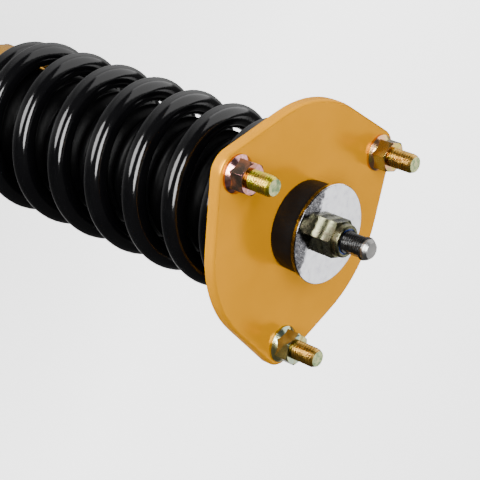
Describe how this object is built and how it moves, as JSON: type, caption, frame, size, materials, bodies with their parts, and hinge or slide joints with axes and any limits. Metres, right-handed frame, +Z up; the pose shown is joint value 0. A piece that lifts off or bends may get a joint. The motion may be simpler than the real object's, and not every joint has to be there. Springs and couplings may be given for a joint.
{
  "type": "coilover strut",
  "caption": "Height-adjustable coilover: spring round a telescopic damper, castellated perch rings, studded rubber-bushed top plate and a forked lower bracket.",
  "frame": {"origin": "centre of the lower fork's bolt bore, midway between its two ears", "axes": "+Z up the damper axis towards the rod tip, +X along the fork's bolt, one mounting stud towards -Y"},
  "size_m": [0.1332, 0.138, 0.5052],
  "materials": {
    "black_satin": "satin black paint on steel",
    "black_gloss": "gloss black powder coat on spring steel",
    "gold_anodised": "gold anodised aluminium",
    "gold_paint": "satin gold coated steel plate",
    "dark_steel": "black oxide steel",
    "plain_steel": "plain machined steel",
    "hard_chrome": "ground and hard chromed steel",
    "bare_aluminium": "turned aluminium",
    "sintered_piston": "sintered steel",
    "yellow_zinc": "yellow passivated zinc on steel",
    "bright_zinc": "bright zinc on steel",
    "black_rubber": "moulded black rubber",
    "dark_plastic": "filled plastic wear band",
    "foam_stop": "cellular polyurethane",
    "blue_nylon": "nylon"
  },
  "bodies": {
    "bracket": {"lower_fork": "black_satin", "lower_tube": "black_satin"},
    "tube_ring": {"tube_lock_ring": "gold_anodised"},
    "damper_body": {"threaded_body": "dark_steel", "base_cap": "plain_steel", "rod_guide": "plain_steel", "rod_seal": "black_rubber", "gland_cap": "dark_steel"},
    "gas_piston": {"gas_piston": "bare_aluminium", "gas_piston_seal": "black_rubber"},
    "perch_ring": {"perch_lock_ring": "gold_anodised", "coil_spring": "black_gloss"},
    "perch": {"spring_perch": "gold_anodised"},
    "rod_and_top": {"dust_boot": "black_rubber", "piston_rod": "hard_chrome", "damper_piston": "sintered_piston", "piston_band": "dark_plastic", "shim_stack": "plain_steel", "piston_nut": "plain_steel", "bump_stop": "foam_stop", "lower_washer": "yellow_zinc", "lower_bush": "black_rubber", "bush_sleeve": "plain_steel", "upper_bush": "black_rubber", "top_washer": "bright_zinc", "rod_nut": "yellow_zinc", "nylon_insert": "blue_nylon", "top_plate": "gold_paint", "stud_bolts": "yellow_zinc", "flange_nuts": "yellow_zinc", "upper_spring_seat": "black_satin", "spring_isolator": "black_rubber"}
  },
  "joints": [
    {"name": "height_adjust", "type": "slide", "parent": "bracket", "child": "damper_body", "axis": [0, 0, 1], "range_m": [-0.025, 0.015]},
    {"name": "tube_ring_turn", "type": "hinge", "parent": "bracket", "child": "tube_ring", "pos_m": [0, 0, 0.162], "axis": [0, 0, 1], "continuous": true},
    {"name": "perch_travel", "type": "slide", "parent": "damper_body", "child": "perch_ring", "axis": [0, 0, 1], "range_m": [-0.006, 0]},
    {"name": "perch_turn", "type": "hinge", "parent": "perch_ring", "child": "perch", "pos_m": [0, 0, 0.2217], "axis": [0, 0, 1], "range_deg": [-1080, 0]},
    {"name": "damper_stroke", "type": "slide", "parent": "perch_ring", "child": "rod_and_top", "axis": [0, 0, 1], "range_m": [-0.075, 0], "stiffness_N_per_m": 75000, "springref_m": 0.006, "deforming": ["coil_spring", "dust_boot"]},
    {"name": "gas_piston_travel", "type": "slide", "parent": "damper_body", "child": "gas_piston", "axis": [0, 0, 1], "range_m": [-0.0142, 0]}
  ],
  "couplings": [
    {"joint": "gas_piston_travel", "follows": "damper_stroke", "ratio": 0.18904},
    {"joint": "perch_turn", "follows": "perch_travel", "rad_per_m": 3141.6}
  ]
}
